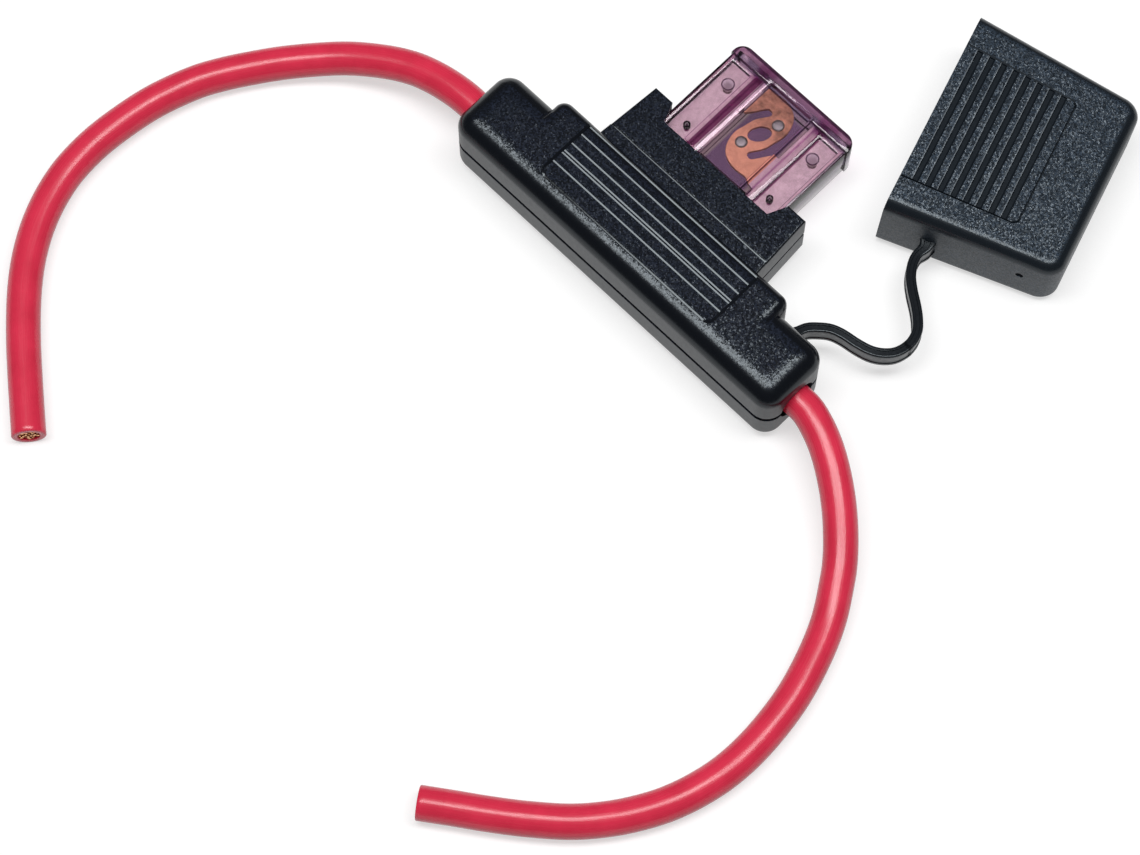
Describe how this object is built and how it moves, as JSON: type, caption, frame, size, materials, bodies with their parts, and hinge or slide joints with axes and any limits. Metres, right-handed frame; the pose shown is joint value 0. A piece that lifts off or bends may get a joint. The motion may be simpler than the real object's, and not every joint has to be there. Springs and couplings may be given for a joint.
{
  "type": "inline fuse holder",
  "caption": "Black two-shell inline holder for a wide blade fuse, with two red leads, a violet see-through fuse and a grooved box cap open on a short moulded strap",
  "frame": {"origin": "Middle of the bar's flat rear face, on the surface that the holder lies on.", "axes": "+X runs along the bar towards the right lead, +Y points from the bar to the fuse, +Z points out of the ribbed front face."},
  "size_m": [0.1742, 0.1891, 0.0184],
  "materials": {
    "housing_plastic": "black moulded thermoplastic, fine spark texture on the front, smoother on the sides",
    "cap_plastic": "black moulded thermoplastic, fine spark texture with a smooth side band",
    "strap_plastic": "black flexible moulded ribbon, satin",
    "lead_insulation": "smooth red extruded insulation, semi-gloss",
    "copper": "bare stranded copper",
    "tin_plate": "tin-plated copper alloy stamping",
    "spring_steel": "bright spring steel strip",
    "fuse_plastic": "clear violet moulded plastic",
    "element_alloy": "copper-coloured stamped alloy",
    "pellet_tin": "dull grey tin"
  },
  "bodies": {
    "housing": {"housing_front": "housing_plastic", "housing_rear": "housing_plastic", "contact_left": "tin_plate", "contact_right": "tin_plate", "contact_spring_left": "spring_steel", "contact_spring_right": "spring_steel", "wire_core_left": "copper", "wire_core_right": "copper", "lead_left": "lead_insulation", "lead_right": "lead_insulation"},
    "fuse": {"fuse_body": "fuse_plastic", "fuse_element": "element_alloy", "fuse_pellet_upper": "pellet_tin", "fuse_pellet_lower": "pellet_tin"},
    "strap": {"cap_strap": "strap_plastic"},
    "cap": {"cap": "cap_plastic"}
  },
  "joints": [
    {"name": "fuse_pull", "type": "slide", "parent": "housing", "child": "fuse", "axis": [0, 1, 0], "range_m": [0, 0.017]},
    {"name": "strap_swing", "type": "hinge", "parent": "housing", "child": "strap", "pos_m": [0.032, 0.00903, 0.0092], "axis": [0, 0, 1], "range_deg": [-30, 10]},
    {"name": "cap_turn", "type": "hinge", "parent": "strap", "child": "cap", "pos_m": [0.03669, 0.03846, 0.00816], "axis": [0, 0, 1], "range_deg": [-25, 15]}
  ]
}
